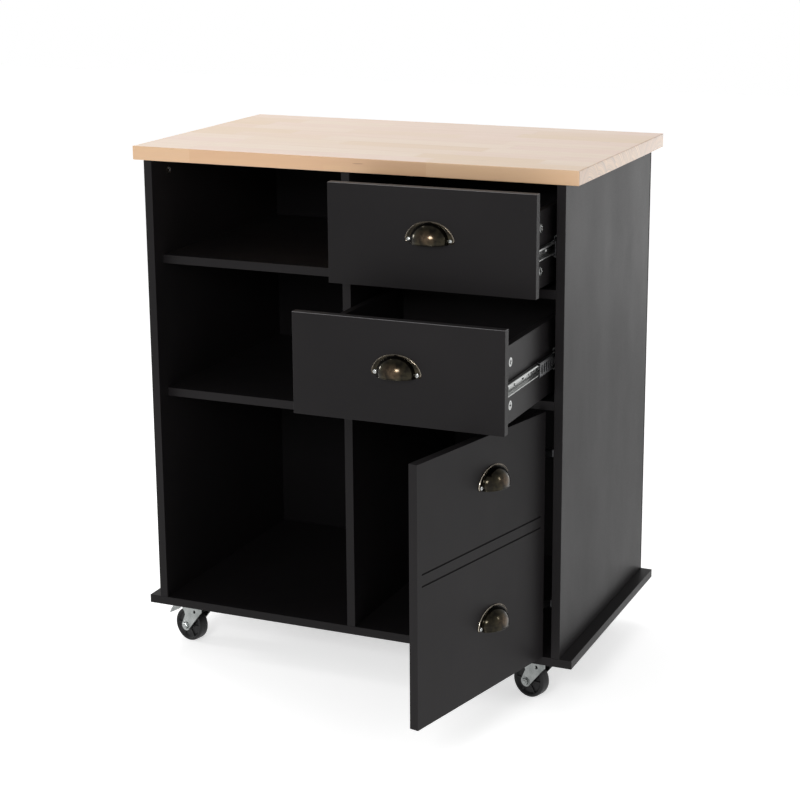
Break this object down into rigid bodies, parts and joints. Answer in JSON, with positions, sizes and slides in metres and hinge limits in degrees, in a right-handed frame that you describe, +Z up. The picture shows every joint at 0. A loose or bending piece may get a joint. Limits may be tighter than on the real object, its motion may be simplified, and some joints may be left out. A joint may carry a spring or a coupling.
{
  "type": "kitchen island cart",
  "caption": "Wheeled kitchen island cart: black board cabinet with open shelves, drawers and a hinged door under a solid wood worktop.",
  "frame": {"origin": "on the floor, under the middle of the cart as it stands at rest, drawers and door part open", "axes": "+X to the right across the front, +Y from the front to the back, +Z up"},
  "size_m": [0.8, 0.8172, 0.917],
  "materials": {
    "rubberwood": "oiled finger-jointed solid wood",
    "black_board": "satin black paint over engineered board",
    "back_board": "matt black faced hardboard",
    "slide_zinc": "bright zinc plate",
    "antique_bronze": "dark antique bronze with rubbed edges",
    "caster_zinc": "bright zinc plate",
    "wheel_black": "hard black rubber"
  },
  "bodies": {
    "cabinet": {"worktop": "rubberwood", "base_board": "black_board", "left_side_panel": "black_board", "center_divider": "black_board", "right_side_panel": "black_board", "back_panel": "back_board", "upper_left_shelf": "black_board", "lower_left_shelf": "black_board", "drawer_rail": "black_board", "compartment_deck": "black_board", "upper_left_slide_cabinet_member": "slide_zinc", "upper_right_slide_cabinet_member": "slide_zinc", "lower_left_slide_cabinet_member": "slide_zinc", "lower_right_slide_cabinet_member": "slide_zinc", "lower_hinge_arm": "slide_zinc", "upper_hinge_arm": "slide_zinc", "front_left_caster_plate": "caster_zinc", "front_right_caster_plate": "caster_zinc", "rear_left_caster_plate": "caster_zinc", "rear_right_caster_plate": "caster_zinc"},
    "upper_drawer": {"upper_drawer_front": "black_board", "upper_drawer_left_side": "black_board", "upper_drawer_right_side": "black_board", "upper_drawer_back": "black_board", "upper_drawer_bottom": "back_board", "upper_drawer_pull": "antique_bronze", "upper_left_slide_drawer_member": "slide_zinc", "upper_right_slide_drawer_member": "slide_zinc"},
    "upper_drawer_slide_middles": {"upper_left_slide_middle_member": "slide_zinc", "upper_right_slide_middle_member": "slide_zinc"},
    "lower_drawer": {"lower_drawer_front": "black_board", "lower_drawer_left_side": "black_board", "lower_drawer_right_side": "black_board", "lower_drawer_back": "black_board", "lower_drawer_bottom": "back_board", "lower_drawer_pull": "antique_bronze", "lower_left_slide_drawer_member": "slide_zinc", "lower_right_slide_drawer_member": "slide_zinc"},
    "lower_drawer_slide_middles": {"lower_left_slide_middle_member": "slide_zinc", "lower_right_slide_middle_member": "slide_zinc"},
    "door": {"door_panel": "black_board", "lower_hinge_cup": "slide_zinc", "upper_hinge_cup": "slide_zinc", "door_lower_pull": "antique_bronze", "door_upper_pull": "antique_bronze"},
    "door_hinge_links": {"lower_hinge_link": "slide_zinc", "upper_hinge_link": "slide_zinc"},
    "front_left_caster": {"front_left_caster_fork": "caster_zinc"},
    "front_left_wheel": {"front_left_caster_wheel": "wheel_black"},
    "front_left_brake": {"front_left_brake_lever": "caster_zinc"},
    "front_right_caster": {"front_right_caster_fork": "caster_zinc"},
    "front_right_wheel": {"front_right_caster_wheel": "wheel_black"},
    "front_right_brake": {"front_right_brake_lever": "caster_zinc"},
    "rear_left_caster": {"rear_left_caster_fork": "caster_zinc"},
    "rear_left_wheel": {"rear_left_caster_wheel": "wheel_black"},
    "rear_right_caster": {"rear_right_caster_fork": "caster_zinc"},
    "rear_right_wheel": {"rear_right_caster_wheel": "wheel_black"}
  },
  "joints": [
    {"name": "upper_drawer_slide", "type": "slide", "parent": "cabinet", "child": "upper_drawer", "axis": [0, -1, 0], "range_m": [-0.088, 0.212]},
    {"name": "upper_drawer_slide_middle", "type": "slide", "parent": "cabinet", "child": "upper_drawer_slide_middles", "axis": [0, -1, 0], "range_m": [-0.044, 0.106]},
    {"name": "lower_drawer_slide", "type": "slide", "parent": "cabinet", "child": "lower_drawer", "axis": [0, -1, 0], "range_m": [-0.222, 0.078]},
    {"name": "lower_drawer_slide_middle", "type": "slide", "parent": "cabinet", "child": "lower_drawer_slide_middles", "axis": [0, -1, 0], "range_m": [-0.111, 0.039]},
    {"name": "door_hinge_link_pivot", "type": "hinge", "parent": "cabinet", "child": "door_hinge_links", "pos_m": [0.32687, -0.05121, 0.3], "axis": [0, 0, 1], "range_deg": [-16.13, 69]},
    {"name": "door_hinge", "type": "hinge", "parent": "door_hinge_links", "child": "door", "pos_m": [0.33716, -0.0731, 0.3], "axis": [0, 0, 1], "range_deg": [-146, 34.13]},
    {"name": "front_left_caster_swivel", "type": "hinge", "parent": "cabinet", "child": "front_left_caster", "pos_m": [-0.33, -0.00145, 0.08], "axis": [0, 0, 1], "continuous": true},
    {"name": "front_left_wheel_spin", "type": "hinge", "parent": "front_left_caster", "child": "front_left_wheel", "pos_m": [-0.35329, 0.00436, 0.031], "axis": [-0.2419, -0.9703, 0], "continuous": true},
    {"name": "front_left_brake_press", "type": "hinge", "parent": "front_left_caster", "child": "front_left_brake", "pos_m": [-0.35523, 0.00484, 0.068], "axis": [-0.2419, -0.9703, 0], "range_deg": [0, 12]},
    {"name": "front_right_caster_swivel", "type": "hinge", "parent": "cabinet", "child": "front_right_caster", "pos_m": [0.33, -0.00145, 0.08], "axis": [0, 0, 1], "continuous": true},
    {"name": "front_right_wheel_spin", "type": "hinge", "parent": "front_right_caster", "child": "front_right_wheel", "pos_m": [0.30705, 0.00557, 0.031], "axis": [-0.2924, -0.9563, 0], "continuous": true},
    {"name": "front_right_brake_press", "type": "hinge", "parent": "front_right_caster", "child": "front_right_brake", "pos_m": [0.30514, 0.00615, 0.068], "axis": [-0.2924, -0.9563, 0], "range_deg": [0, 12]},
    {"name": "rear_left_caster_swivel", "type": "hinge", "parent": "cabinet", "child": "rear_left_caster", "pos_m": [-0.33, 0.34855, 0.08], "axis": [0, 0, 1], "continuous": true},
    {"name": "rear_left_wheel_spin", "type": "hinge", "parent": "rear_left_caster", "child": "rear_left_wheel", "pos_m": [-0.35225, 0.35754, 0.031], "axis": [-0.3746, -0.9272, 0], "continuous": true},
    {"name": "rear_right_caster_swivel", "type": "hinge", "parent": "cabinet", "child": "rear_right_caster", "pos_m": [0.33, 0.34855, 0.08], "axis": [0, 0, 1], "continuous": true},
    {"name": "rear_right_wheel_spin", "type": "hinge", "parent": "rear_right_caster", "child": "rear_right_wheel", "pos_m": [0.30636, 0.35272, 0.031], "axis": [-0.1736, -0.9848, 0], "continuous": true}
  ],
  "couplings": [
    {"joint": "upper_drawer_slide_middle", "follows": "upper_drawer_slide", "ratio": 0.5},
    {"joint": "lower_drawer_slide_middle", "follows": "lower_drawer_slide", "ratio": 0.5},
    {"joint": "door_hinge_link_pivot", "follows": "door_hinge", "ratio": -0.4726}
  ]
}
